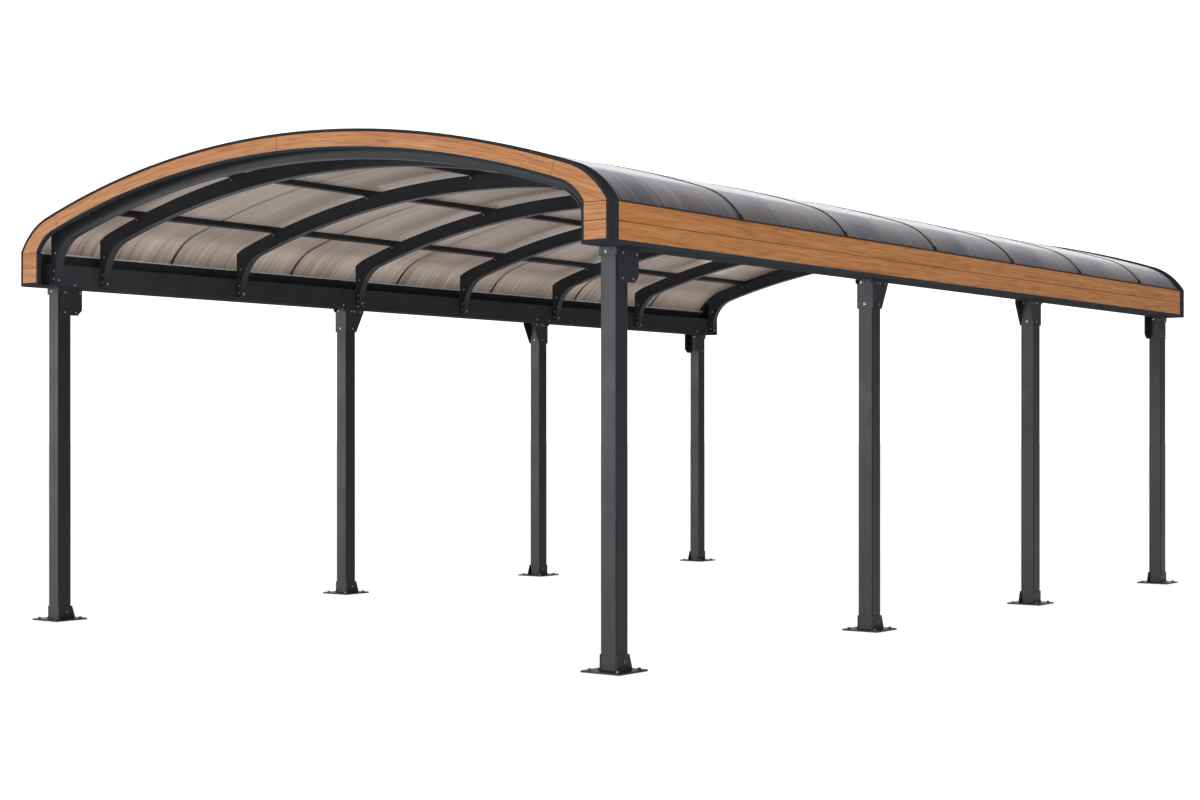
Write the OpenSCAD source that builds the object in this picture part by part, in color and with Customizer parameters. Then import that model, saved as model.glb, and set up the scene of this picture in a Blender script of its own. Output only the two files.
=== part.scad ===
// Arched carport: eight square posts, two gutter beams, eight bent ribs with
// five rows of purlins, seven twin-wall roof sheets and board-clad end arches.

/* [Overall] */
// Width over the outer faces of the gutter beams
overall_w = 4556; // [3600:2:5400]
// Height of the beams' underside above the floor
clear_h = 2065; // [1800:5:2600]
// First bay between post centres, from the front
bay_1 = 2500; // [2200:10:3000]
// Second bay between post centres
bay_2 = 2210; // [1900:10:2700]
// Third bay between post centres
bay_3 = 2290; // [1900:10:2700]
// Roof in front of the first post centres
front_overhang = 200; // [160:5:400]
// Roof behind the last post centres
back_overhang = 250; // [160:5:400]

/* [Arch] */
// Radius of the roof's main curve
arch_r = 6600; // [5200:10:9000]
// Radius of the knee between roof and eave
knee_r = 450; // [400:5:600]
// Distance from the outer face at which the knee starts
knee_run = 248; // [200:2:270]
// Depth of an end arch's outer flange, front to back
end_d = 80; // [60:1:120]
// Thickness of that flange
skin_t = 10; // [6:0.5:14]
// Depth of an end arch's band behind its front face
band_d = 26; // [24:1:50]
// Height of an end arch's band at the crown
band_h = 107; // [80:1:140]
// Inner knee radius of an end arch
band_knee_r = 260; // [220:5:320]
// Distance from a leg's inner face at which its inner knee starts
band_knee_run = 142; // [110:2:160]

/* [Posts] */
// Side of a square post
post_s = 96; // [70:1:120]
// Corner radius of a post
post_r = 6; // [2:0.5:12]
// Side of a base plate
plate_s = 235; // [180:1:300]
// Thickness of a base plate
plate_t = 10; // [6:0.5:16]
// Hole for an anchor bolt
anchor_d = 14; // [10:0.5:18]
// Spacing of the anchor bolts, both ways
anchor_pitch = 175; // [150:1:190]
// Height of the foot's sleeve above the plate
sleeve_h = 85; // [60:1:140]
// Wall of the sleeves at foot and head
sleeve_t = 5; // [3:0.5:10]
// Height of the head bracket under the beam
head_h = 172; // [120:1:220]
// Height of the head's lip on an end post's outer face
head_lip = 43; // [20:1:80]
// Reach of the head's wings from its sleeve
wing_l = 75; // [50:1:110]
// Height of a tapered wing at its tip
wing_edge = 18; // [4:1:30]
// Corner cut off an end post's wing
wing_cut = 34; // [10:1:45]
// Thickness of the head's top plate
head_t = 6; // [4:0.5:10]
// Height of the flares at the foot
flare_h = 62; // [30:1:80]
// Reach of a flare from the sleeve
flare_l = 34; // [20:1:45]
// Height of a flare at its toe
toe_h = 4; // [2:0.5:8]
// Room between a post and its sleeves
post_gap = 0.3; // [0.1:0.1:1]

/* [Gutter beams] */
// Width of a beam, outer face to inner face
beam_w = 166; // [130:1:220]
// Height of a beam at its outer wall
beam_h = 212; // [180:1:260]
// Height of a beam at its inner wall
inner_h = 140; // [110:1:170]
// Height of the closed chamber under the gutter
chamber_h = 70; // [40:1:100]
// Thickness of the gutter's walls
wall_t = 8; // [4:0.5:12]

/* [Cladding] */
// Thickness of a board
board_t = 12; // [8:0.5:18]
// Depth of a board's face behind the lips
board_set = 2; // [1:0.5:5]
// Open joint between boards
board_gap = 3; // [1:0.5:6]
// Lip below the boards
lip_bottom = 20; // [10:1:30]
// Lip above the side boards
lip_top = 10; // [6:1:20]
// Lip along the outer edge of an end arch
lip_outer = 16; // [8:1:24]
// Lip along the inner edge of an end arch
lip_inner = 13; // [8:1:24]
// Distance from the outer face at which the joint between knee board and arch board lies
joint_run = 326; // [280:2:420]

/* [Ribs and purlins] */
// Depth of a rib
rib_h = 92; // [60:1:120]
// Width of a rib's web
rib_w = 40; // [24:1:60]
// Width of a rib's lower flange
flange_w = 52; // [30:1:80]
// Thickness of the lower flange
flange_t = 8; // [4:0.5:12]
// Thickness of a rib's leg on the beam's inner face
rib_leg = 50; // [35:1:80]
// Radius of a rib's bend at the eave
rib_bend = 240; // [150:5:300]
// Distance of a rib's end above the beam's underside
rib_foot = 20; // [5:1:40]
// First and last rib's centre from the roof's ends
rib_end = 120; // [110:1:150]
// Second rib's centre from the front end
rib_second = 490; // [400:5:700]
// Depth of a purlin
purlin_h = 34; // [20:1:50]
// Width of a purlin
purlin_w = 32; // [20:1:60]
// Distance along the roof's curve from the eave to the outer purlins
purlin_edge = 600; // [500:10:800]

/* [Roof] */
// Thickness of a twin-wall sheet
sheet_t = 10; // [6:0.5:16]
// Distance from one sheet joint to the next
sheet_pitch = 1085; // [950:5:1150]
// Gap between two sheets
sheet_gap = 4; // [2:0.5:10]
// Width of a strip over a sheet joint
strip_w = 22; // [16:1:60]
// Thickness of a joint strip
strip_t = 3; // [1.5:0.5:3]
// Room between the sheets and what carries them
seat_gap = 0.3; // [0.1:0.1:1]

/* [Hidden] */
$fn = 96;

// Colours of powder coat, wood-grain boards and bronze sheet
coat = "#45464A";
wood = "#C08655";
bronze = "#9A8F88";

// The roof runs along Y, with its front at the negative end
roof_l = front_overhang + bay_1 + bay_2 + bay_3 + back_overhang;
y_front = -roof_l / 2;
y_back = roof_l / 2;
y_in_front = y_front + end_d;
y_in_back = y_back - end_d;
y_band_front = y_front + band_d;
y_band_back = y_back - band_d;
post_y1 = y_front + front_overhang;
post_y = [post_y1, post_y1 + bay_1, post_y1 + bay_1 + bay_2, y_back - back_overhang];

// The posts stand flush with the beams' inner faces
half_w = overall_w / 2;
x_inner = half_w - beam_w;
post_x = x_inner + post_s / 2;
eave_z = clear_h + beam_h;

// The knee's circle touches the main circle from inside, at knee_turn from the crown
knee_turn = asin((half_w - knee_run) / arch_r);
knee_x = (arch_r - knee_r) * sin(knee_turn);
// The main circle's centre, set so that the knee meets the outer face at the eave
arch_z = eave_z - sqrt(knee_r * knee_r - (half_w - knee_x) * (half_w - knee_x))
    - (arch_r - knee_r) * cos(knee_turn);
crown_z = arch_z + arch_r;

// The end arch's inner edge has its own knee
band_r = arch_r - band_h;
band_turn = asin((x_inner - band_knee_run) / band_r);

// A knee's circle crosses the main circle by a hair, so that the two arcs meet in one edge
knee_lap = 0.05;

// The sheets lie under the end arches' flanges, purlins under the sheets, ribs under the purlins
sheet_set = skin_t + seat_gap;
sheet_under = sheet_set + sheet_t;
purlin_top = sheet_under + seat_gap;
rib_top = purlin_top + purlin_h + seat_gap;
rib_under = rib_top + rib_h;
rib_x = x_inner - rib_leg;
rib_turn = asin((rib_x - rib_bend) / (arch_r - rib_under - rib_bend));

// Boards between the lips
board_z1 = clear_h + lip_bottom;
board_z3 = eave_z - lip_top;
board_z2 = (board_z1 + board_z3) / 2;
recess = board_t + board_set;
knee_joint = asin((half_w - joint_run) / arch_r);

// The second to the last rib are evenly spaced
rib_pitch = (y_back - rib_end - y_front - rib_second) / 6;
rib_y = [y_front + rib_end, for (i = [0 : 6]) y_front + rib_second + i * rib_pitch];

// The gutters run from the first rib to the last
trough_front = rib_y[0] - flange_w / 2;
trough_back = rib_y[7] + flange_w / 2;

// Sheet joints, from the front arch to the back arch
sheet_y = [y_band_front, for (i = [1 : 6]) y_in_front + i * sheet_pitch, y_band_back];

// Five purlins in equal steps about the crown
knee_out = asin((half_w - knee_x) / knee_r);
arc_l = 2 * PI / 360 * (arch_r * knee_turn + knee_r * (knee_out - knee_turn));
purlin_step = (arc_l - purlin_edge) / 2 / (2 * PI / 360) / arch_r;

// A profile in X and Z drawn out along Y
module along_y(y0, y1) {
    translate([0, y1, 0]) rotate([90, 0, 0]) linear_extrude(y1 - y0) children();
}

// Everything under an arch: a main curve, two knees that run into it, upright sides
module under_arch(rad, knee, turn, side, low) {
    cx = (rad - knee + knee_lap) * sin(turn);
    cz = arch_z + (rad - knee + knee_lap) * cos(turn);
    far = 2 * arch_r;
    intersection() {
        translate([0, arch_z]) circle(rad, $fn = 720);
        union() {
            polygon([[0, arch_z], [far * sin(turn), arch_z + far * cos(turn)],
                     [-far * sin(turn), arch_z + far * cos(turn)]]);
            intersection() {
                for (s = [-1, 1]) translate([s * cx, cz]) circle(knee);
                translate([-side, low]) square([2 * side, far]);
            }
            if (cz > low) translate([-side, low]) square([2 * side, cz - low]);
        }
    }
}

// The half plane above a height
module above(low) {
    translate([-half_w, low]) square([overall_w, arch_r]);
}

// The roof's outer curve, moved in by a distance
module roof_line(inset, side, low) {
    under_arch(arch_r - inset, knee_r - inset, knee_turn, side, low);
}

// The end arch's inner curve, moved out by a distance
module band_line(outset, side, low) {
    under_arch(band_r + outset, band_knee_r + outset, band_turn, side, low);
}

module rounded_square(s, r) {
    for (x = [-1, 1], y = [-1, 1]) translate([x * (s / 2 - r), y * (s / 2 - r)]) circle(r);
    square([s - 2 * r, s], center = true);
    square([s, s - 2 * r], center = true);
}

module sleeve(h) {
    side = post_s + 2 * post_gap;
    linear_extrude(h) difference() {
        rounded_square(side + 2 * sleeve_t, post_r);
        rounded_square(side, post_r);
    }
}

module post(s, i) {
    color(coat) translate([s * post_x, post_y[i], plate_t])
        linear_extrude(clear_h - head_t - plate_t) rounded_square(post_s, post_r);
}

// Base plate with four anchor holes, a sleeve and a flare on each side
module post_foot(s, i) {
    out = post_s / 2 + post_gap + sleeve_t;
    wide = post_s - 2 * post_r;
    color(coat) translate([s * post_x, post_y[i], 0]) {
        difference() {
            translate([-plate_s / 2, -plate_s / 2, 0]) cube([plate_s, plate_s, plate_t]);
            for (x = [-1, 1], y = [-1, 1])
                translate([x * anchor_pitch / 2, y * anchor_pitch / 2, -1])
                    cylinder(d = anchor_d, h = plate_t + 2);
        }
        translate([0, 0, plate_t]) sleeve(sleeve_h);
        for (a = [0 : 90 : 270]) rotate([0, 0, a]) translate([0, wide / 2, plate_t])
            rotate([90, 0, 0]) linear_extrude(wide) flare(out);
    }
}

// Hollowed foot that starts along the sleeve's face and runs out on the plate
module flare(out) {
    rise = flare_h - toe_h;
    hollow = (flare_l * flare_l + rise * rise) / (2 * flare_l);
    difference() {
        translate([out - sleeve_t / 2, 0]) square([flare_l + sleeve_t / 2, flare_h]);
        translate([out + hollow, flare_h]) circle(hollow);
    }
}

// Sleeve on the post's top with a top plate, and wings along the beam: both ways on the middle
// posts, only towards the middle on the end posts, whose outer face has a short lip
module post_head(s, i) {
    out = post_s / 2 + post_gap + sleeve_t;
    at_end = i == 0 || i == 3;
    ways = i == 0 ? [1] : i == 3 ? [-1] : [-1, 1];
    color(coat) translate([s * post_x, post_y[i], clear_h - head_t]) {
        translate([-out, -out, 0]) cube([2 * out, 2 * out, head_t]);
        difference() {
            translate([0, 0, head_t - head_h]) sleeve(head_h - head_t);
            if (at_end) translate([-out - 1, i == 0 ? -out - 1 : out - sleeve_t - post_r, -head_h])
                cube([2 * out + 2, sleeve_t + post_r + 1, head_h - head_lip + head_t]);
        }
        for (w = ways) {
            translate([-out, w > 0 ? 0 : -out - wing_l, 0]) cube([2 * out, out + wing_l, head_t]);
            for (x = [-out, out - sleeve_t]) translate([x, 0, 0])
                rotate([90, 0, 90]) linear_extrude(sleeve_t) wing(w, out, at_end);
        }
    }
}

// Flat wing in the plane of the sleeve's side: tapered, or upright with a cut corner on an end post
module wing(w, out, at_end) {
    foot = head_t - head_h;
    root = out - sleeve_t - post_r;
    tip = out + wing_l;
    polygon(at_end
        ? [[w * root, 0], [w * tip, 0], [w * tip, foot + wing_cut], [w * (tip - wing_cut), foot],
           [w * root, foot]]
        : [[w * root, 0], [w * tip, 0], [w * tip, -wing_edge], [w * out, foot], [w * root, foot]]);
}

// Gutter: outer wall with two lips, a floor from arch to arch, and between the first and the last
// rib a closed chamber with a lower inner wall and end caps
module gutter_beam(s) {
    color(coat) mirror([s < 0 ? 1 : 0, 0, 0]) {
        along_y(y_in_front, y_in_back) beam_wall();
        along_y(y_band_front, y_band_back) translate([x_inner, clear_h]) square([beam_w - skin_t, wall_t]);
        along_y(trough_front, trough_back) beam_trough(wall_t);
        for (y = [trough_front, trough_back - wall_t]) along_y(y, y + wall_t)
            beam_trough(beam_w - recess - wall_t / 2);
    }
}

module beam_wall() {
    translate([half_w, clear_h]) polygon([
        [0, 0], [-recess - wall_t, 0], [-recess - wall_t, beam_h], [0, beam_h], [0, beam_h - lip_top],
        [-recess, beam_h - lip_top], [-recess, lip_bottom], [0, lip_bottom]]);
}

// Chamber from the inner face into the outer wall, with an inner wall of some thickness on it
module beam_trough(thick) {
    translate([x_inner, clear_h]) {
        square([beam_w - recess - wall_t / 2, chamber_h]);
        square([thick, inner_h]);
    }
}

module side_boards(s) {
    color(wood) for (z = [[board_z1, board_z2 - board_gap / 2], [board_z2 + board_gap / 2, board_z3]])
        translate([s > 0 ? half_w - recess : -half_w + board_set, y_in_front, z[0]])
            cube([board_t, y_in_back - y_in_front, z[1] - z[0]]);
}

// Arched band with upright legs and an outer flange behind it, recessed for the boards
module end_arch(e) {
    y = e < 0 ? [y_front, y_in_front] : [y_in_back, y_back];
    h = e < 0 ? [y_band_front, y_in_front + 1] : [y_in_back - 1, y_band_back];
    r = e < 0 ? [y_front - 1, y_front + recess] : [y_back - recess, y_back + 1];
    color(coat) difference() {
        along_y(y[0], y[1]) intersection() {
            roof_line(0, half_w, clear_h);
            above(clear_h);
        }
        along_y(y[0] - 1, y[1] + 1) band_line(0, x_inner, clear_h - 1);
        along_y(h[0], h[1]) roof_line(skin_t, half_w - skin_t, clear_h - 1);
        along_y(r[0], r[1]) board_band();
    }
}

module board_band() {
    difference() {
        roof_line(lip_outer, half_w - lip_outer, board_z1);
        band_line(lip_inner, x_inner + lip_inner, board_z1 - 1);
    }
}

module end_boards(e) {
    y = e < 0 ? y_front + board_set : y_back - board_set - board_t;
    color(wood) along_y(y, y + board_t) intersection() {
        board_band();
        children();
    }
}

// Two boards on each leg, in line with the side boards
module leg_boards(e) {
    end_boards(e) for (z = [[board_z1, board_z2 - board_gap / 2],
                            [board_z2 + board_gap / 2, board_z3 - board_gap]])
        translate([-half_w, z[0]]) square([overall_w, z[1] - z[0]]);
}

module knee_boards(e) {
    far = 2 * arch_r;
    end_boards(e) for (s = [-1, 1]) difference() {
        translate([s > 0 ? 0 : -half_w, board_z3]) square([half_w, crown_z - board_z3]);
        translate([0, arch_z]) rotate(-s * knee_joint) translate([s > 0 ? -far : 0, 0])
            square([far, far]);
    }
}

module arch_boards(e) {
    far = 2 * arch_r;
    for (s = [-1, 1]) end_boards(e) intersection() {
        translate([s > 0 ? board_gap / 2 : -half_w, eave_z]) square([half_w - board_gap / 2, arch_r]);
        translate([0, arch_z]) rotate(-s * knee_joint) translate([s > 0 ? -far - board_gap : board_gap, 0])
            square([far, far]);
    }
}

// Bent rib: a web and a wider lower flange, ending in legs on the beams' inner faces
module rib_web() {
    difference() {
        intersection() {
            roof_line(rib_top, x_inner, clear_h + rib_foot);
            above(clear_h + rib_foot);
        }
        under_arch(arch_r - rib_under, rib_bend, rib_turn, rib_x, clear_h);
    }
}

module rib_flange() {
    difference() {
        under_arch(arch_r - rib_under + flange_t, rib_bend + flange_t, rib_turn, rib_x + flange_t,
                   clear_h + rib_foot);
        under_arch(arch_r - rib_under, rib_bend, rib_turn, rib_x, clear_h);
    }
}

module rib(i) {
    y = rib_y[i];
    color(coat) {
        along_y(y - rib_w / 2, y + rib_w / 2) rib_web();
        along_y(y - flange_w / 2, y + flange_w / 2) rib_flange();
    }
}

// One purlin over all ribs, from arch to arch
module purlin(k) {
    turn = (k - 3) * purlin_step;
    color(coat) along_y(y_band_front, y_band_back) intersection() {
        difference() {
            roof_line(purlin_top, half_w, clear_h);
            roof_line(purlin_top + purlin_h, half_w, clear_h - 1);
        }
        translate([0, arch_z]) rotate(-turn) translate([-purlin_w / 2, 0])
            square([purlin_w, 2 * arch_r]);
    }
}

// A bent twin-wall sheet whose lower edges stand on the beams' outer walls
module roof_sheet(i) {
    y0 = sheet_y[i] + (i > 0 ? sheet_gap / 2 : 0);
    y1 = sheet_y[i + 1] - (i < 6 ? sheet_gap / 2 : 0);
    color(bronze) along_y(y0, y1) sheet_band(sheet_set, sheet_t);
}

module sheet_band(inset, thick) {
    intersection() {
        difference() {
            roof_line(inset, half_w, clear_h);
            roof_line(inset + thick, half_w, clear_h - 1);
        }
        above(eave_z);
    }
}

module post_left_1() { post(-1, 0); }
module post_left_2() { post(-1, 1); }
module post_left_3() { post(-1, 2); }
module post_left_4() { post(-1, 3); }
module post_right_1() { post(1, 0); }
module post_right_2() { post(1, 1); }
module post_right_3() { post(1, 2); }
module post_right_4() { post(1, 3); }
module post_feet_left() { for (i = [0 : 3]) post_foot(-1, i); }
module post_feet_right() { for (i = [0 : 3]) post_foot(1, i); }
module post_heads_left() { for (i = [0 : 3]) post_head(-1, i); }
module post_heads_right() { for (i = [0 : 3]) post_head(1, i); }
module gutter_beam_left() { gutter_beam(-1); }
module gutter_beam_right() { gutter_beam(1); }
module side_boards_left() { side_boards(-1); }
module side_boards_right() { side_boards(1); }
module front_arch() { end_arch(-1); }
module back_arch() { end_arch(1); }
module front_leg_boards() { leg_boards(-1); }
module front_knee_boards() { knee_boards(-1); }
module front_arch_boards() { arch_boards(-1); }
module back_leg_boards() { leg_boards(1); }
module back_knee_boards() { knee_boards(1); }
module back_arch_boards() { arch_boards(1); }
module joint_strips() {
    color(coat) for (i = [1 : 6]) along_y(sheet_y[i] - strip_w / 2, sheet_y[i] + strip_w / 2)
        sheet_band(sheet_set - strip_t, strip_t - seat_gap);
}

post_left_1();
post_left_2();
post_left_3();
post_left_4();
post_right_1();
post_right_2();
post_right_3();
post_right_4();
post_feet_left();
post_feet_right();
post_heads_left();
post_heads_right();
gutter_beam_left();
gutter_beam_right();
side_boards_left();
side_boards_right();
front_arch();
back_arch();
front_leg_boards();
front_knee_boards();
front_arch_boards();
back_leg_boards();
back_knee_boards();
back_arch_boards();
rib(0);  // rib_1
rib(1);  // rib_2
rib(2);  // rib_3
rib(3);  // rib_4
rib(4);  // rib_5
rib(5);  // rib_6
rib(6);  // rib_7
rib(7);  // rib_8
purlin(1);  // purlin_1
purlin(2);  // purlin_2
purlin(3);  // purlin_3
purlin(4);  // purlin_4
purlin(5);  // purlin_5
roof_sheet(0);  // roof_sheet_1
roof_sheet(1);  // roof_sheet_2
roof_sheet(2);  // roof_sheet_3
roof_sheet(3);  // roof_sheet_4
roof_sheet(4);  // roof_sheet_5
roof_sheet(5);  // roof_sheet_6
roof_sheet(6);  // roof_sheet_7
joint_strips();
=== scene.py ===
import math
import bpy
import numpy as np
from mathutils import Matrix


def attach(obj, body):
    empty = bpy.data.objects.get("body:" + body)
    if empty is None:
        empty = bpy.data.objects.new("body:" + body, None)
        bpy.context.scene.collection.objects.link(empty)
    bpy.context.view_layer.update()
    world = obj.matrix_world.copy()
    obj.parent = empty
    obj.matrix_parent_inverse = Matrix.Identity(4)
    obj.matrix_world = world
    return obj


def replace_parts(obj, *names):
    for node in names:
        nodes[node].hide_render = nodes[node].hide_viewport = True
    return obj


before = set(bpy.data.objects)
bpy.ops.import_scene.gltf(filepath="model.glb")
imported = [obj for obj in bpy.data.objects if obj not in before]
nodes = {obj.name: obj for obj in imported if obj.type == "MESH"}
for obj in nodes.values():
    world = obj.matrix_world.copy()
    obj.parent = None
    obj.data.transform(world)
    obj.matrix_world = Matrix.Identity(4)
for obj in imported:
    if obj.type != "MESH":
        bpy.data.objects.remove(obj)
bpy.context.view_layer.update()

print("frame loaded,", len(nodes), "nodes")

# sizes shared with the solids, in metres
carport = dict(halfW=2.278, innerX=2.112, clearH=2.065, beamH=0.212, archR=6.600, kneeR=0.450,
               kneeRun=0.248, postX=2.160, postS=0.096, postY=(-3.525, -1.025, 1.185, 3.475),
               frontY=-3.725, backY=3.725, endD=0.080, bandD=0.026, sheetSet=0.0103, sheetT=0.010,
               sheets=7, sheetPitch=1.085, sheetGap=0.004, purlins=5, purlinH=0.034, purlinEdge=0.600,
               ribs=8, ribEnd=0.120, ribSecond=0.490, ribPitch=1.140, ribW=0.040, ribLeg=0.050,
               sleeveOut=0.0533, plateT=0.010, anchor=0.0875, headH=0.172, headLip=0.043, wingL=0.075,
               seatGap=0.0003)
eaveZ = carport["clearH"] + carport["beamH"]
# the knee's circle touches the main circle from inside and meets the outer face at the eave
kneeTurn = math.asin((carport["halfW"] - carport["kneeRun"]) / carport["archR"])
kneeX = (carport["archR"] - carport["kneeR"]) * math.sin(kneeTurn)
kneeZ = eaveZ - math.sqrt(carport["kneeR"] ** 2 - (carport["halfW"] - kneeX) ** 2)
archZ = kneeZ - (carport["archR"] - carport["kneeR"]) * math.cos(kneeTurn)
ribY = [carport["frontY"] + carport["ribEnd"]]
ribY += [carport["frontY"] + carport["ribSecond"] + i * carport["ribPitch"]
         for i in range(carport["ribs"] - 1)]
sheetY = [carport["frontY"] + carport["bandD"]]
sheetY += [carport["frontY"] + carport["endD"] + i * carport["sheetPitch"]
           for i in range(1, carport["sheets"])]
sheetY += [carport["backY"] - carport["bandD"]]
purlinTop = carport["sheetSet"] + carport["sheetT"] + carport["seatGap"]
ribTop = purlinTop + carport["purlinH"] + carport["seatGap"]
# half the roof's curve = main arc + knee arc; the outer purlins lie purlinEdge from its end,
# and the others at even steps of lean from the crown
kneeOut = math.asin((carport["halfW"] - kneeX) / carport["kneeR"])
halfArc = carport["archR"] * kneeTurn + carport["kneeR"] * (kneeOut - kneeTurn)
crownPurlin = (carport["purlins"] - 1) / 2
purlinStep = (halfArc - carport["purlinEdge"]) / crownPurlin / carport["archR"]


def linear(hexText):
    # sRGB channel to linear: c/12.92 below 0.04045, else ((c+0.055)/1.055)^2.4
    c = np.array([int(hexText[i:i + 2], 16) / 255 for i in (1, 3, 5)])
    c = np.where(c <= 0.04045, c / 12.92, ((c + 0.055) / 1.055) ** 2.4)
    return (*c.tolist(), 1.0)


def addNode(tree, kind, links=None, **settings):
    # settings name node properties, or inputs by index i0, i1..; links map an input to an output socket
    n = tree.nodes.new(kind)
    for key, value in settings.items():
        if key[0] == "i" and key[1:].isdigit():
            n.inputs[int(key[1:])].default_value = value
        else:
            setattr(n, key, value)
    for key, socket in (links or {}).items():
        tree.links.new(socket, n.inputs[key])
    return n


def newMaterial(name):
    m = bpy.data.materials.new(name)
    m.use_nodes = True
    tree = m.node_tree
    tree.nodes.clear()
    shader = tree.nodes.new("ShaderNodeBsdfPrincipled")
    out = tree.nodes.new("ShaderNodeOutputMaterial")
    tree.links.new(shader.outputs[0], out.inputs[0])
    coords = tree.nodes.new("ShaderNodeTexCoord").outputs["Object"]
    return m, tree, shader, coords


def ramp(tree, fac, stops):
    # colour ramp with stops of (position, hex colour)
    r = addNode(tree, "ShaderNodeValToRGB", {0: fac})
    e = r.color_ramp.elements
    while len(e) < len(stops):
        e.new(0.5)
    for el, (at, colour) in zip(e, stops):
        el.position = at
        el.color = linear(colour)
    return r.outputs[0]


# Anthracite polyester powder coat on aluminium, sprayed and baked: satin, with a faint
# orange-peel skin (real cells about 1 mm, drawn at 4 mm so that they show) and a little dust
def powderCoat(name, look):
    m, tree, shader, coords = newMaterial(name)
    dustAndShade = addNode(tree, "ShaderNodeTexNoise", {0: coords}, i2=1000 / look["dustMm"], i3=5.0, i4=0.6)
    peel = addNode(tree, "ShaderNodeTexNoise", {0: coords}, i2=1000 / look["peelMm"], i3=2.0)
    colour = ramp(tree, dustAndShade.outputs[0], [(0.30, look["dark"]), (0.72, look["light"])])
    tree.links.new(colour, shader.inputs["Base Color"])
    rough = addNode(tree, "ShaderNodeMapRange", {0: dustAndShade.outputs[0]}, i1=0.3, i2=0.7,
                    i3=look["roughLow"], i4=look["roughHigh"])
    tree.links.new(rough.outputs[0], shader.inputs["Roughness"])
    bump = addNode(tree, "ShaderNodeBump", {"Height": peel.outputs[0]}, i0=look["bump"],
                   i1=look["peelDeepMm"] / 1000)
    tree.links.new(bump.outputs[0], shader.inputs["Normal"])
    shader.inputs["IOR"].default_value = look["ior"]
    shader.inputs["Specular IOR Level"].default_value = look["gloss"]
    return m


# Printed wood-grain boards, oiled-larch colour: long streaks along the board, pale and dark,
# with fine dark pores; satin lacquer
def woodBoards(name, look, grain):
    m, tree, shader, coords = newMaterial(name)
    xyz = addNode(tree, "ShaderNodeSeparateXYZ", {0: coords}).outputs
    if grain == "length":
        along, across = xyz[1], xyz[2]
    elif grain == "width":
        along, across = xyz[0], xyz[2]
    else:
        # distance along the arch = angle from the crown times the radius, across = distance from its centre
        up = addNode(tree, "ShaderNodeMath", {0: xyz[2]}, operation="SUBTRACT", i1=archZ).outputs[0]
        angle = addNode(tree, "ShaderNodeMath", {0: xyz[0], 1: up}, operation="ARCTAN2").outputs[0]
        along = addNode(tree, "ShaderNodeMath", {0: angle}, operation="MULTIPLY",
                        i1=carport["archR"]).outputs[0]
        flat = addNode(tree, "ShaderNodeCombineXYZ", {0: xyz[0], 2: up}).outputs[0]
        across = addNode(tree, "ShaderNodeVectorMath", {0: flat}, operation="LENGTH").outputs[1]
    # the upper row of boards takes another stretch of grain
    row = addNode(tree, "ShaderNodeMath", {0: xyz[2]}, operation="GREATER_THAN",
                  i1=look["jointZ"]).outputs[0]
    shift = addNode(tree, "ShaderNodeMath", {0: row, 2: along}, operation="MULTIPLY_ADD",
                    i1=look["rowShift"]).outputs[0]
    seat = addNode(tree, "ShaderNodeCombineXYZ", {0: shift, 1: across, 2: xyz[0]}).outputs[0]
    broad = addNode(tree, "ShaderNodeMapping", {0: seat},
                    i3=(1000 / look["streakLongMm"], 1000 / look["streakWideMm"], 1.0)).outputs[0]
    fine = addNode(tree, "ShaderNodeMapping", {0: seat},
                   i3=(1000 / look["poreLongMm"], 1000 / look["poreWideMm"], 1.0)).outputs[0]
    streak = addNode(tree, "ShaderNodeTexNoise", {0: broad}, i2=1.0, i3=4.0, i4=0.55, i8=0.6)
    pore = addNode(tree, "ShaderNodeTexNoise", {0: fine}, i2=1.0, i3=2.0, i4=0.5)
    body = ramp(tree, streak.outputs[0],
                [(0.28, look["dark"]), (0.46, look["mid"]), (0.70, look["pale"])])
    fleck = ramp(tree, pore.outputs[0], [(0.32, look["pore"]), (0.52, "#FFFFFF")])
    mix = addNode(tree, "ShaderNodeMix", {6: body, 7: fleck}, data_type="RGBA", blend_type="MULTIPLY",
                  i0=look["poreStrength"])
    tree.links.new(mix.outputs[2], shader.inputs["Base Color"])
    rough = addNode(tree, "ShaderNodeMapRange", {0: pore.outputs[0]}, i1=0.3, i2=0.7,
                    i3=look["roughPore"], i4=look["roughFace"])
    tree.links.new(rough.outputs[0], shader.inputs["Roughness"])
    bump = addNode(tree, "ShaderNodeBump", {"Height": pore.outputs[0]}, i0=look["bump"],
                   i1=look["poreDeepMm"] / 1000)
    tree.links.new(bump.outputs[0], shader.inputs["Normal"])
    shader.inputs["IOR"].default_value = look["ior"]
    shader.inputs["Specular IOR Level"].default_value = look["gloss"]
    return m


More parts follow.
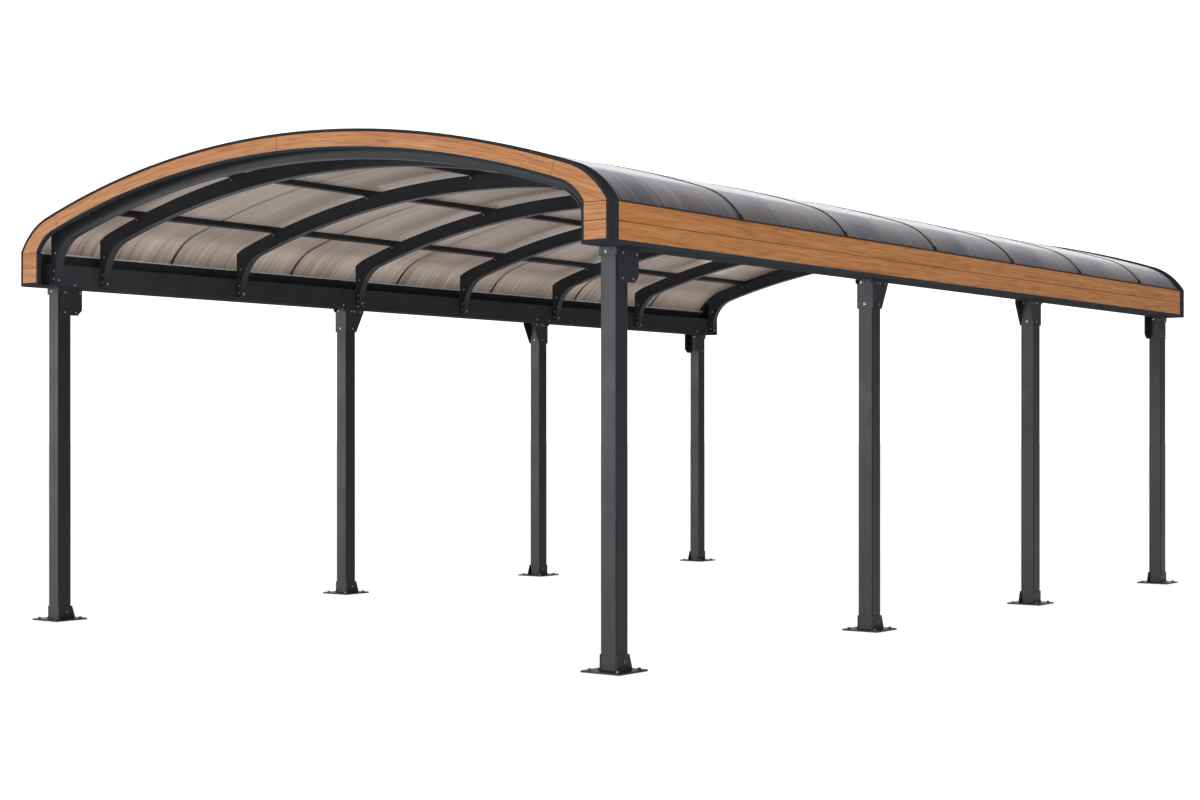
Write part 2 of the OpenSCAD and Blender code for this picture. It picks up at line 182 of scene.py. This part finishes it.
# Bronze twin-wall polycarbonate, extruded: glossy brown, the webs inside show as fine lines that
# run along the arch (11 mm webs, drawn at 24 mm so that they show) and change lineDrift times a metre
def twinWall(name, look):
    m, tree, shader, coords = newMaterial(name)
    xyz = addNode(tree, "ShaderNodeSeparateXYZ", {0: coords}).outputs
    phase = addNode(tree, "ShaderNodeMath", {0: xyz[1]}, operation="MULTIPLY",
                    i1=2 * math.pi * 1000 / look["fluteMm"]).outputs[0]
    flute = addNode(tree, "ShaderNodeMath", {0: phase}, operation="SINE").outputs[0]
    drawn = addNode(tree, "ShaderNodeMapping", {0: coords},
                    i3=(look["lineDrift"], 1000 / look["lineMm"], look["lineDrift"])).outputs[0]
    lines = addNode(tree, "ShaderNodeTexNoise", {0: drawn}, i2=1.0, i3=3.0, i4=0.6)
    colour = ramp(tree, lines.outputs[0], [(0.33, look["dark"]), (0.66, look["light"])])
    web = addNode(tree, "ShaderNodeMapRange", {0: flute}, i1=0.6, i2=1.0, i3=1.0, i4=look["webShade"])
    tint = addNode(tree, "ShaderNodeMix", {6: colour, 7: web.outputs[0]}, data_type="RGBA",
                   blend_type="MULTIPLY", i0=1.0)
    # painted shade at the eaves, standing in for the beam's shadow on the sheet: height plus a ragged part of
    # the lines, darkest at the edge
    ragged = addNode(tree, "ShaderNodeMath", {0: lines.outputs[0], 2: xyz[2]}, operation="MULTIPLY_ADD",
                     i1=look["raggedMm"] / 1000).outputs[0]
    eaveShadeFrom = eaveZ + look["raggedPart"] * look["raggedMm"] / 1000
    dustAndShade = addNode(tree, "ShaderNodeMapRange", {0: ragged}, i1=eaveShadeFrom, i2=eaveShadeFrom + look["eaveMm"] / 1000,
                   i3=look["eaveShade"], i4=1.0)
    # the sheet's colour multiplied by the painted eave shade
    body = addNode(tree, "ShaderNodeMix", {6: tint.outputs[2], 7: dustAndShade.outputs[0]}, data_type="RGBA",
                   blend_type="MULTIPLY", i0=1.0)
    tree.links.new(body.outputs[2], shader.inputs["Base Color"])
    rough = addNode(tree, "ShaderNodeMapRange", {0: lines.outputs[0]}, i1=0.3, i2=0.7,
                    i3=look["roughLow"], i4=look["roughHigh"])
    tree.links.new(rough.outputs[0], shader.inputs["Roughness"])
    shader.inputs["IOR"].default_value = look["ior"]
    shader.inputs["Transmission Weight"].default_value = look["through"]
    shader.inputs["Coat Weight"].default_value = look["gloss"]
    shader.inputs["Coat Roughness"].default_value = look["glossRough"]
    return m


# Stainless or zinc-plated steel, turned and tumbled: grey with a soft shine, scuffs 2 to 3 mm apart
def plainSteel(name, look):
    m, tree, shader, coords = newMaterial(name)
    scuff = addNode(tree, "ShaderNodeTexNoise", {0: coords}, i2=1000 / look["scuffMm"], i3=3.0)
    colour = ramp(tree, scuff.outputs[0], [(0.35, look["dark"]), (0.65, look["light"])])
    tree.links.new(colour, shader.inputs["Base Color"])
    rough = addNode(tree, "ShaderNodeMapRange", {0: scuff.outputs[0]}, i1=0.3, i2=0.7,
                    i3=look["roughLow"], i4=look["roughHigh"])
    tree.links.new(rough.outputs[0], shader.inputs["Roughness"])
    shader.inputs["Metallic"].default_value = 1.0
    return m


# gloss 0 keeps undersides dark where a grazing look would mirror the white floor
coatLook = dict(dark="#1B1C1F", light="#222326", dustMm=260, peelMm=4, peelDeepMm=0.6, bump=0.12,
                roughLow=0.36, roughHigh=0.48, ior=1.33, gloss=0.42)
boardLook = dict(dark="#925D34", mid="#A56D3E", pale="#B07C4C", pore="#97622F", poreStrength=0.40,
                 streakLongMm=900, streakWideMm=22, poreLongMm=160, poreWideMm=7, poreDeepMm=0.8, bump=0.25,
                 roughPore=0.56, roughFace=0.44, ior=1.5, gloss=0.18, jointZ=2.176, rowShift=13.7)
sheetLook = dict(dark="#BBA797", light="#EFDCCB", fluteMm=24, lineMm=15, lineDrift=0.6, webShade=0.85,
                 roughLow=0.38, roughHigh=0.50, ior=1.58, through=0.95, gloss=0.6, glossRough=0.10,
                 eaveShade=0.20, eaveMm=150, raggedMm=140, raggedPart=0.4)

coat = powderCoat("anthracitePowderCoat", coatLook)
steelCoat = powderCoat("anthraciteCoatedSteel", dict(coatLook, dark="#1D1E21", light="#26272A", gloss=0.4))
# ribs, end arches and beams carry the posts' anthracite paint; their lighter base colours are painted light
# that brightens these parts
ribCoat = powderCoat("anthraciteSatinCoat", dict(coatLook, dark="#2A2B2E", light="#303134", gloss=0.2))
archCoat = powderCoat("anthraciteMattCoat", dict(coatLook, dark="#2A2B2E", light="#303134", gloss=0.0))
beamCoat = powderCoat("anthraciteMattCoatOnBeams", dict(coatLook, dark="#2F3033", light="#363739", gloss=0.0))
sideWood = woodBoards("larchBoardsLengthwise", boardLook, "length")
legWood = woodBoards("larchBoardsCrosswise", boardLook, "width")
archWood = woodBoards("larchBoardsAlongArch", boardLook, "arch")
sheet = twinWall("bronzeTwinWall", sheetLook)
screwSteel = plainSteel("stainlessSteel", dict(dark="#77787B", light="#A6A7AA", scuffMm=2, roughLow=0.30,
                                               roughHigh=0.46))
tapeFilm = powderCoat("paleEdgeTape", dict(coatLook, dark="#E6E1DA", light="#F2EEE8", dustMm=120, peelMm=5,
                                           bump=0.05, roughLow=0.35, roughHigh=0.5, gloss=0.5))
zincSteel = plainSteel("zincPlatedSteel", dict(dark="#5E6062", light="#85878A", scuffMm=3, roughLow=0.35,
                                               roughHigh=0.55))


def finishFor(name):
    if "leg_boards" in name:
        return legWood
    if name.endswith("knee_boards") or name.endswith("arch_boards"):
        return archWood
    if name.startswith("side_boards"):
        return sideWood
    if name.startswith("roof_sheet"):
        return sheet
    if name.startswith("post_feet") or name.startswith("post_heads"):
        return steelCoat
    if name.startswith("gutter_beam"):
        return beamCoat
    if name.endswith("_arch"):
        return archCoat
    if name.startswith("rib_"):
        return ribCoat
    return coat


for name, node in nodes.items():
    node.data.materials.clear()
    node.data.materials.append(finishFor(name))
print("materials on the solids")


def ringFaces(rows, cols):
    # corner numbers of the four-sided faces between rows of points, each row closed on itself
    r = np.arange(rows - 1)[:, None]
    c = np.arange(cols)[None, :]
    c1 = (c + 1) % cols
    quads = np.broadcast_arrays(r * cols + c, r * cols + c1, (r + 1) * cols + c1, (r + 1) * cols + c)
    return np.stack(quads, -1).reshape(-1, 4)


def addPiece(name, points, faces, material, slot, sharp=38):
    # faces: list of arrays, each of faces with one corner count
    mesh = bpy.data.meshes.new(name)
    mesh.from_pydata(points.reshape(-1, 3).tolist(), [], [f for a in faces for f in a.tolist()])
    mesh.materials.append(material)
    mesh.shade_smooth()
    mesh.set_sharp_from_angle(angle=math.radians(sharp))
    mesh.validate()
    obj = bpy.data.objects.new(name, mesh)
    bpy.context.collection.objects.link(obj)
    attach(obj, "root")
    return obj


def roofPoint(turn, inset):
    # point on the roof line moved in by inset, where the outward normal leans by turn from upright:
    # main circle while |turn| <= kneeTurn, knee circle beyond
    side = np.sign(turn)
    knee = np.abs(turn) > kneeTurn
    r = np.where(knee, carport["kneeR"], carport["archR"]) - inset
    x = np.where(knee, side * kneeX, 0.0) + r * np.sin(turn)
    z = np.where(knee, kneeZ, archZ) + r * np.cos(turn)
    return x, z


def eaveTurn(inset):
    # lean at which the moved roof line comes down to the eave's height
    return math.acos((eaveZ - kneeZ) / (carport["kneeR"] - inset))


# roof sheets: outer and inner skin, each fluted along the arch, closed at the eaves and ends.
# skin depth = inset + wave, wave = amplitude x strength x (1 - cos(2 pi y / flute)) / 2, where each
# flute draws its own strength between weakest and 1
sheetShape = dict(flute=0.024, wave=0.00015, weakest=0.35, draws=400, perFlute=5, mainSteps=44, kneeSteps=12,
                  seed=7)


def fluteWave(y):
    rng = np.random.default_rng(sheetShape["seed"])
    strength = sheetShape["weakest"] + (1 - sheetShape["weakest"]) * rng.random(sheetShape["draws"])
    flutes = (y - carport["frontY"]) / sheetShape["flute"]
    depth = sheetShape["wave"] * strength[np.floor(flutes).astype(int)]
    return depth * 0.5 * (1 - np.cos(2 * math.pi * flutes))


def sheetTurns(inset):
    # leans of the skin's columns, dense in the knees
    end = eaveTurn(inset)
    k, m = sheetShape["kneeSteps"], sheetShape["mainSteps"]
    knee = np.linspace(kneeTurn, end, k + 1)[1:]
    return np.concatenate([-knee[::-1], np.linspace(-kneeTurn, kneeTurn, m + 1), knee])


def roofSheet(i):
    y0 = sheetY[i] + (carport["sheetGap"] / 2 if i > 0 else 0)
    y1 = sheetY[i + 1] - (carport["sheetGap"] / 2 if i < carport["sheets"] - 1 else 0)
    count = int((y1 - y0) / sheetShape["flute"] * sheetShape["perFlute"])
    y = np.linspace(y0, y1, count + 1)
    wave = fluteWave(y)[:, None]
    outer, inner = carport["sheetSet"], carport["sheetSet"] + carport["sheetT"]
    to, ti = sheetTurns(outer)[None, :], sheetTurns(inner)[None, ::-1]
    xo, zo = roofPoint(to, outer + wave)
    xi, zi = roofPoint(ti, inner - wave)
    x, z = np.concatenate([xo, xi], 1), np.concatenate([zo, zi], 1)
    points = np.stack([x, np.broadcast_to(y[:, None], x.shape), z], -1)
    rows, cols = x.shape
    skin = ringFaces(rows, cols)
    # ends: each column's outer point joined to the inner point under it
    c = np.arange(cols // 2 - 1)
    cap = np.stack([c, cols - 1 - c, cols - 2 - c, c + 1], -1)
    faces = [skin, cap[:, ::-1], cap + (rows - 1) * cols]
    return addPiece("sheet_%d" % (i + 1), points, faces, sheet, "bronze_sheet")


for i in range(carport["sheets"]):
    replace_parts(roofSheet(i), "roof_sheet_%d" % (i + 1))
print("roof sheets fluted")


def spun(rings, steps, hexRings=()):
    # rings of (radius, height) turned about +Z; a hexagonal ring's radius is r / cos of the angle
    # from the nearest flat's middle
    a = np.arange(steps) * 2 * math.pi / steps
    r, h = np.array(rings).T
    flat = 1 / np.cos((a + math.pi / 6) % (math.pi / 3) - math.pi / 6)
    six = np.isin(np.arange(len(rings)), hexRings)[:, None]
    radius = r[:, None] * np.where(six, flat[None, :], 1.0)
    points = np.stack([radius * np.cos(a), radius * np.sin(a), np.broadcast_to(h[:, None], radius.shape)], -1)
    side = ringFaces(len(rings), steps)
    top = (len(rings) - 1) * steps + np.arange(steps)[None, :]
    return points.reshape(-1, 3), [side, np.arange(steps)[None, ::-1], top]


def scatter(shape, faces, places, normals, twist=None):
    # the shape turned from +Z to each normal, about it by twist, and moved to each place
    places, n = np.array(places, float), np.array(normals, float)
    n /= np.linalg.norm(n, axis=1)[:, None]
    ref = np.where(np.abs(n[:, 2:3]) > 0.9, [[1.0, 0, 0]], [[0, 0, 1.0]])
    u = np.cross(ref, n)
    u /= np.linalg.norm(u, axis=1)[:, None]
    v = np.cross(n, u)
    if twist is not None:
        c, s = np.cos(twist)[:, None], np.sin(twist)[:, None]
        u, v = c * u + s * v, c * v - s * u
    turn = np.stack([u, v, n], 1)
    points = np.einsum("kj,nji->nki", shape, turn) + places[:, None, :]
    step = (np.arange(len(places)) * len(shape))[:, None, None]
    return points.reshape(-1, 3), [(f[None] + step).reshape(-1, f.shape[1]) for f in faces]


def roundedBlock(size, bevel):
    # block of size (x, y, z) from z = 0 up: three rings of a square with cut corners, the last drawn in
    x, y, z = size
    hx, hy = x / 2, y / 2
    outline = np.array([(hx, hy - bevel), (hx - bevel, hy), (bevel - hx, hy), (-hx, hy - bevel),
                        (-hx, bevel - hy), (bevel - hx, -hy), (hx - bevel, -hy), (hx, bevel - hy)])
    inset = outline * np.array([(x - 2 * bevel) / x, (y - 2 * bevel) / y])
    rings = [np.c_[ring, np.full(8, at)] for ring, at in ((outline, 0.0), (outline, z - bevel), (inset, z))]
    faces = [ringFaces(3, 8), np.arange(8)[None, ::-1], 16 + np.arange(8)[None, :]]
    return np.concatenate(rings), faces


def barsAlongY(x, z, spans):
    # closed profile, clockwise seen from the front, drawn out over each span of y, with flat ends
    n = len(x)
    points = np.array([np.stack([x, np.full(n, y), z], -1) for span in spans for y in span])
    step = (np.arange(len(spans)) * 2 * n)[:, None, None]
    faces = [ringFaces(2, n), np.arange(n)[None, ::-1], n + np.arange(n)[None, :]]
    return points.reshape(-1, 3), [(f[None] + step).reshape(-1, f.shape[1]) for f in faces]


def platesAlongX(y, z, spans):
    # closed profile, clockwise seen from the right, drawn out over each span of x, with flat ends
    p, faces = barsAlongY(y, z, [(-b, -a) for a, b in spans])
    return np.stack([-p[:, 1], p[:, 0], p[:, 2]], -1), faces


def turned(outline, w):
    # outline as two arrays, mirrored for w < 0 with its order reversed, so that it keeps its sense
    a, b = np.array(outline).T
    return (a, b) if w > 0 else (-a[::-1], b[::-1])


def joined(parts):
    # several (points, faces) as one
    starts = np.cumsum([0] + [len(p) for p, _ in parts])
    points = np.concatenate([p for p, _ in parts])
    return points, [f + at for (_, faces), at in zip(parts, starts) for f in faces]


# post feet: a base plate, and on both sides of the post a plate that widens downwards to the
# carport's middle, with a hollowed toe; laps keep faces of touching pieces apart
foot = dict(plate=0.235, bevel=0.0015, top=0.087, wall=0.0053, shoulder=0.004, spread=0.026, edge=0.012,
            toe=0.013, toeEdge=0.002, rise=0.018, lap=0.0003, screwIn=0.015, screwUp=0.050)
half = carport["postS"] / 2
sides = (-1, 1)


def sideSpans(x, wall):
    # spans of x of a wall on both sides of a post at x
    return [(x + half - foot["lap"], x + half + wall), (x - half - wall, x - half + foot["lap"])]


def postFoot(x, y, w):
    base, lap = carport["plateT"], foot["lap"]
    plate, plateFaces = roundedBlock((foot["plate"], foot["plate"], base), foot["bevel"])
    parts = [(plate + np.array([x, y, 0]), plateFaces)]
    reach = half + foot["spread"]
    outline = [(-half, base - lap), (-half, foot["top"]), (half + foot["shoulder"], foot["top"]),
               (reach, base + foot["edge"]), (reach, base - lap)]
    a, b = turned(outline, w)
    parts.append(platesAlongX(a + y, b, sideSpans(x, foot["wall"])))
    # toe: quarter of an ellipse hollowed out of a corner
    u = np.linspace(0, math.pi / 2, 7)
    start = half + foot["wall"]
    toe = [(start - lap, base - lap), (start - lap, base + foot["rise"])]
    toeZ = base + foot["toeEdge"] + (foot["rise"] - foot["toeEdge"]) * (1 - np.sin(u))
    toe += list(zip(start + foot["toe"] * (1 - np.cos(u)), toeZ))
    toe.append((start + foot["toe"], base - lap))
    for s in sides:
        a, b = turned(toe, s)
        parts.append(barsAlongY(a + x, b, [(y - half, y + half)]))
    return parts


# post heads: side plates with a wing to the carport's middle, tapered on the middle posts and with
# a cut corner on the end posts, plates between them, and a top plate
head = dict(edge=0.024, cut=0.034, nick=0.012, lug=0.020, lugHigh=0.030, top=0.006, bevel=0.001)


def postHead(x, y, i):
    w, end = (1 if i < 2 else -1), i in (0, 3)
    out, lap = carport["sleeveOut"], foot["lap"]
    tip = out + carport["wingL"]
    high, low = carport["clearH"] - lap, carport["clearH"] - carport["headH"]
    lip = high - carport["headLip"]
    if end:
        outline = [(-out, lip), (-out, high), (tip, high), (tip, low + head["cut"]), (tip - head["cut"], low),
                   (head["nick"] - half, low), (head["nick"] - half, lip)]
    else:
        outline = [(-out, low), (-out, high - head["lugHigh"]), (-out - head["lug"], high - head["lug"]),
                   (-out - head["lug"], high), (tip, high), (tip, high - head["edge"]), (out, low)]
    a, b = turned(outline, w)
    parts = [platesAlongX(a + y, b, sideSpans(x, out - half))]
    wide, nick = out - lap, head["nick"]
    for way in sides:
        down = lip if end and way != w else low
        a, b = np.array([(-wide, down + nick), (-wide, high), (wide, high), (wide, down + nick),
                         (wide - nick, down), (nick - wide, down)]).T
        span = sorted((y + way * (half - lap), y + way * (out + lap)))
        parts.append(barsAlongY(a + x, b, [span]))
    top, topFaces = roundedBlock((2 * wide, out + tip - 2 * lap, head["top"]), head["bevel"])
    parts.append((top + np.array([x, y + w * (tip - out) / 2, high - head["top"]]), topFaces))
    return parts


for s, side in zip(sides, ("left", "right")):
    x = s * carport["postX"]
    feet = [p for i, y in enumerate(carport["postY"]) for p in postFoot(x, y, 1 if i < 2 else -1)]
    feetPiece = addPiece("feet_" + side, *joined(feet), steelCoat, "coated_steel", sharp=30)
    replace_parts(feetPiece, "post_feet_" + side)
    heads = [p for i, y in enumerate(carport["postY"]) for p in postHead(x, y, i)]
    headsPiece = addPiece("heads_" + side, *joined(heads), steelCoat, "coated_steel", sharp=30)
    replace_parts(headsPiece, "post_heads_" + side)
print("feet and heads set")


# pan-head screws: a flat washer face, a domed head and a shallow socket
screw = dict(head=0.0075, high=0.0045, small=0.82, steps=12, seed=3)


def screws(name, places, normals, size=1.0):
    # rings of (radius, height) from under the washer face up to the dome and down into the socket
    r, h = screw["head"] * size, screw["high"] * size
    rings = [(1.25 * r, -0.001), (1.25 * r, 0.0009), (r, 0.0010), (0.98 * r, 0.45 * h), (0.80 * r, 0.85 * h),
             (0.50 * r, h), (0.45 * r, 0.97 * h), (0.40 * r, 0.55 * h)]
    shape, faces = spun(rings, screw["steps"], hexRings=(6, 7))
    twist = np.random.default_rng(screw["seed"]).random(len(places)) * 2 * math.pi
    points, faces = scatter(shape, faces, places, normals, twist)
    return addPiece(name, points, faces, screwSteel, "coated_steel")


# spots on a head: (reach along the face, drop from the beam), by face and by end or middle post
headSpots = dict(endSide=[(0.000, 0.028), (0.000, 0.152), (0.114, 0.030), (0.083, 0.152)],
                 endFace=[(-0.012, 0.024)],
                 midSide=[(0.003, 0.021), (0.034, 0.021), (0.092, 0.022), (0.017, 0.145)],
                 midFace=[(-0.027, 0.018), (-0.002, 0.145)])
headPlaces, headNormals, footPlaces, footNormals = [], [], [], []
for s in sides:
    for i, y in enumerate(carport["postY"]):
        out, x, w = carport["sleeveOut"], s * carport["postX"], (1 if i < 2 else -1)
        kind = "end" if i in (0, 3) else "mid"
        for way in sides:
            for reach, drop in headSpots[kind + "Side"]:
                headPlaces.append((x + way * out, y + w * reach, carport["clearH"] - drop))
                headNormals.append((way, 0, 0))
            for reach, drop in headSpots[kind + "Face"]:
                headPlaces.append((x + reach, y + way * (out + foot["lap"]), carport["clearH"] - drop))
                headNormals.append((0, way, 0))
            footPlaces.append((x + way * (half + foot["wall"]), y + w * foot["screwIn"],
                               foot["screwUp"]))
            footNormals.append((way, 0, 0))
screws("head_screws", headPlaces, headNormals, screw["small"])
screws("foot_screws", footPlaces, footNormals, screw["small"])

# spots on a rib's foot: (distance in from the beam, height over its underside) on both faces, and
# the height of the one on its edge
ribSpots = dict(face=[(0.025, 0.048), (0.025, 0.096), (0.040, 0.205)], edge=0.040)
ribPlaces, ribNormals = [], []
for y in ribY:
    for s in sides:
        x = s * carport["innerX"]
        for dx, z in ribSpots["face"]:
            ribPlaces += [(x - s * dx, y - carport["ribW"] / 2, carport["clearH"] + z),
                          (x - s * dx, y + carport["ribW"] / 2, carport["clearH"] + z)]
            ribNormals += [(0, -1, 0), (0, 1, 0)]
        ribPlaces += [(x - s * carport["ribLeg"], y, carport["clearH"] + ribSpots["edge"])]
        ribNormals += [(-s, 0, 0)]
screws("rib_screws", ribPlaces, ribNormals)

# beam screws: one on each side of a middle post, one inside each end post
beamSpots = dict(beside=0.075, up=0.020)
first, *middle, last = carport["postY"]
screwZ = carport["clearH"] + beamSpots["up"]
beamPlaces = [(s * carport["innerX"], y + way * beamSpots["beside"], screwZ)
              for s in sides for y in middle for way in sides]
beamPlaces += [(s * carport["innerX"], y + way * beamSpots["beside"], screwZ)
               for s in sides for y, way in ((first, 1), (last, -1))]
screws("beam_screws", beamPlaces, [(-math.copysign(1, p[0]), 0, 0) for p in beamPlaces])

# anchor bolts: washer and a low hexagon head with a chamfer and a dished top
anchorBolt = dict(washer=0.0112, nut=0.0085, steps=24, seed=5)
w, n = anchorBolt["washer"], anchorBolt["nut"]
boltRings = [(w, -0.001), (w, 0.0018), (0.96 * w, 0.0022), (0.97 * n, 0.0023), (n, 0.0028), (n, 0.0078),
             (0.90 * n, 0.0088), (0.60 * n, 0.0089), (0.55 * n, 0.0084)]
boltShape, boltFaces = spun(boltRings, anchorBolt["steps"], hexRings=(4, 5))
apart = carport["anchor"]
boltPlaces = [(s * carport["postX"] + dx * apart, y + dy * apart, carport["plateT"])
              for s in sides for y in carport["postY"] for dx in sides for dy in sides]
boltTwist = np.random.default_rng(anchorBolt["seed"]).random(len(boltPlaces)) * math.pi
boltPoints, boltFaces = scatter(boltShape, boltFaces, boltPlaces, [(0, 0, 1)] * len(boltPlaces), boltTwist)
addPiece("anchor_bolts", boltPoints, boltFaces, zincSteel, "coated_steel")
print("screws and anchor bolts set")


# purlin clips: a small plate with cut corners on each rib's front face under each purlin, with a screw
clip = dict(wide=0.034, high=0.030, thick=0.004, bevel=0.0012, below=0.001, screw=0.8)
clipTurns = np.repeat((np.arange(carport["purlins"]) - crownPurlin) * purlinStep, len(ribY))
clipX, clipZ = roofPoint(clipTurns, ribTop + clip["high"] / 2 + clip["below"])
clipPlaces = np.stack([clipX, np.tile(ribY, carport["purlins"]) - carport["ribW"] / 2, clipZ], -1)
clipShape, clipFaces = roundedBlock((clip["wide"], clip["high"], clip["thick"]), clip["bevel"])
clipNormals = [(0, -1, 0)] * len(clipPlaces)
clipPoints, clipFaces = scatter(clipShape, clipFaces, clipPlaces, clipNormals, clipTurns)
addPiece("purlin_clips", clipPoints, clipFaces, steelCoat, "coated_steel", sharp=25)
screws("clip_screws", clipPlaces + np.array([0, -clip["thick"], 0]), clipNormals, clip["screw"])

# strip ends: a small cap over each joint strip's foot at both eaves
stripEnd = dict(wide=0.028, long=0.030, thick=0.0050, bevel=0.0015, inset=0.007, back=0.020, proud=0.0030)
joints = sheetY[1:-1]
endTurn = eaveTurn(stripEnd["inset"]) - stripEnd["back"] / carport["kneeR"]
endTurns = np.repeat([s * endTurn for s in sides], len(joints))
endX, endZ = roofPoint(endTurns, carport["sheetSet"] - stripEnd["proud"])
endPlaces = np.stack([endX, np.tile(joints, 2), endZ], -1)
endNormals = np.stack([np.sin(endTurns), np.zeros_like(endTurns), np.cos(endTurns)], -1)
endShape, endFaces = roundedBlock((stripEnd["wide"], stripEnd["long"], stripEnd["thick"]), stripEnd["bevel"])
endPoints, endFaces = scatter(endShape, endFaces, endPlaces, endNormals)
addPiece("strip_ends", endPoints, endFaces, coat, "powder_coat", sharp=25)
print("clips and strip ends set")


# eave tapes: a pale strip along each sheet's edge over the gutter, on the inner skin
tape = dict(high=0.011, thick=0.0015, lap=0.0002, endGap=0.003)
tapeIn = carport["sheetSet"] + carport["sheetT"]
tapeTurns = eaveTurn(tapeIn) - np.array([0, 0, 1, 1]) * tape["high"] / (carport["kneeR"] - tapeIn)
tapeDepth = np.array([-tape["lap"], tape["thick"], tape["thick"], -tape["lap"]])
tapeX, tapeZ = roofPoint(tapeTurns, tapeIn + tapeDepth)
tapeZ[:2] = eaveZ + tape["lap"]
tapeSpans = [(y0 + tape["endGap"], y1 - tape["endGap"]) for y0, y1 in zip(sheetY[:-1], sheetY[1:])]
rightTapes = barsAlongY(tapeX, tapeZ, tapeSpans)
leftTapes = barsAlongY(-tapeX[::-1], tapeZ[::-1], tapeSpans)
addPiece("eave_tapes", *joined([rightTapes, leftTapes]), tapeFilm, "bronze_sheet", sharp=25)
print("eave tapes set")

# floor: one wide pale square with a glow, so that it stays white to its edge
floorLook = dict(half=200.0, colour="#808080", rough=0.9, glow=0.90)
floorMesh = bpy.data.meshes.new("floor")
h = floorLook["half"]
floorMesh.from_pydata([(-h, -h, 0), (h, -h, 0), (h, h, 0), (-h, h, 0)], [], [(0, 1, 2, 3)])
floor = bpy.data.objects.new("floor", floorMesh)
bpy.context.collection.objects.link(floor)
floorMat, _, floorShader, _ = newMaterial("paleStudioFloor")
floorShader.inputs["Base Color"].default_value = linear(floorLook["colour"])
floorShader.inputs["Roughness"].default_value = floorLook["rough"]
floorShader.inputs["Emission Color"].default_value = linear("#FFFFFF")
floorShader.inputs["Emission Strength"].default_value = floorLook["glow"]
floorMesh.materials.append(floorMat)

# soft studio: an even pale surround with a white wall behind the carport, dim and bluish above that
# wall, and a low dark flag to the right of it; each step runs between two cosines of the angle to its aim,
# or between two heights
studio = dict(base=0.56, wall=0.84, wallAim=(-0.607, 0.794, 0.0), wallStep=(0.70, 0.88),
              dim=0.34, dimAim=(-0.2, 0.98, 0.0), dimStep=(0.0, 0.35), dimHeight=(0.23, 0.33),
              flag=0.85, flagAim=(0.7, 0.714, 0.0), flagStep=(0.55, 0.82), flagHeight=(0.20, 0.40),
              skyHeight=(0.24, 0.42), skyColours=("#FFFFFF", "#CBD8F1"))
world = bpy.data.worlds.new("studio")
bpy.context.scene.world = world
world.use_nodes = True
sky = world.node_tree
aim = addNode(sky, "ShaderNodeTexCoord").outputs["Generated"]


def skyStep(value, span, at=0.0, to=1.0):
    return addNode(sky, "ShaderNodeMapRange", {0: value}, interpolation_type="SMOOTHSTEP", i1=span[0],
                   i2=span[1], i3=at, i4=to).outputs[0]


def skyDot(way):
    return addNode(sky, "ShaderNodeVectorMath", {0: aim}, operation="DOT_PRODUCT", i1=way).outputs[1]


def skyMath(kind, a, b):
    return addNode(sky, "ShaderNodeMath", {0: a, 1: b}, operation=kind).outputs[0]


# brightness = (base + wall) x (1 - dim x height step x back step) x (1 - flag x its step x low step)
height = skyDot((0.0, 0.0, 1.0))
wall = skyStep(skyDot(studio["wallAim"]), studio["wallStep"], studio["base"], studio["base"] + studio["wall"])
back = skyStep(skyDot(studio["dimAim"]), studio["dimStep"], 0.0, studio["dim"])
dim = skyMath("MULTIPLY", skyStep(height, studio["dimHeight"]), back)
low = skyStep(height, studio["flagHeight"], studio["flag"], 0.0)
flag = skyMath("MULTIPLY", skyStep(skyDot(studio["flagAim"]), studio["flagStep"]), low)
lit = [addNode(sky, "ShaderNodeMath", {1: part}, operation="SUBTRACT", i0=1.0).outputs[0]
       for part in (dim, flag)]
bright = skyMath("MULTIPLY", skyMath("MULTIPLY", wall, lit[0]), lit[1])
sky.links.new(bright, sky.nodes["Background"].inputs[1])
tone = ramp(sky, height, list(zip(studio["skyHeight"], studio["skyColours"])))
sky.links.new(tone, sky.nodes["Background"].inputs[0])

# light panels; one that isn't mirrored lights the carport but leaves no glare on the roof
lamps = [dict(name="frontPanel", place=(-20.0, -31.0, 3.4), aim=(0, 0, 1.4), size=(25.0, 6.5), power=7400,
              mirrored=True),
         dict(name="rightPanel", place=(17.0, -9.0, 5.0), aim=(0, 0, 1.6), size=(9.0, 6.0), power=1300,
              mirrored=False),
         dict(name="topPanel", place=(-2.0, -1.0, 11.0), aim=(0, 0, 0), size=(9.0, 9.0), power=150,
              mirrored=True)]
for lamp in lamps:
    data = bpy.data.lights.new(lamp["name"], "AREA")
    data.shape = "RECTANGLE"
    data.size, data.size_y = lamp["size"]
    data.energy = lamp["power"]
    obj = bpy.data.objects.new(lamp["name"], data)
    obj.location = lamp["place"]
    obj.visible_glossy = lamp["mirrored"]
    # an area light shines down its own -Z: tilt it by the way's angle from straight down, then head it
    away = np.array(lamp["aim"]) - np.array(lamp["place"])
    dist = float(np.linalg.norm(away))
    obj.rotation_euler = (math.acos(-away[2] / dist), 0.0, math.atan2(away[1], away[0]) - math.pi / 2)
    bpy.context.collection.objects.link(obj)

# camera: level, the picture shifted up a little, 1200 x 800 frame
view = dict(lens=57.654, sensor=36.0, shiftY=0.02804, place=(7.7774, -10.9867, 1.1574), turn=37.399)
camData = bpy.data.cameras.new("camera")
camData.lens = view["lens"]
camData.sensor_width = view["sensor"]
camData.sensor_fit = "HORIZONTAL"
camData.shift_y = view["shiftY"]
camera = bpy.data.objects.new("camera", camData)
camera.location = view["place"]
camera.rotation_euler = (math.radians(90), 0, math.radians(view["turn"]))
bpy.context.collection.objects.link(camera)
bpy.context.scene.camera = camera
bpy.context.scene.view_settings.view_transform = "Standard"
print("studio and camera set")
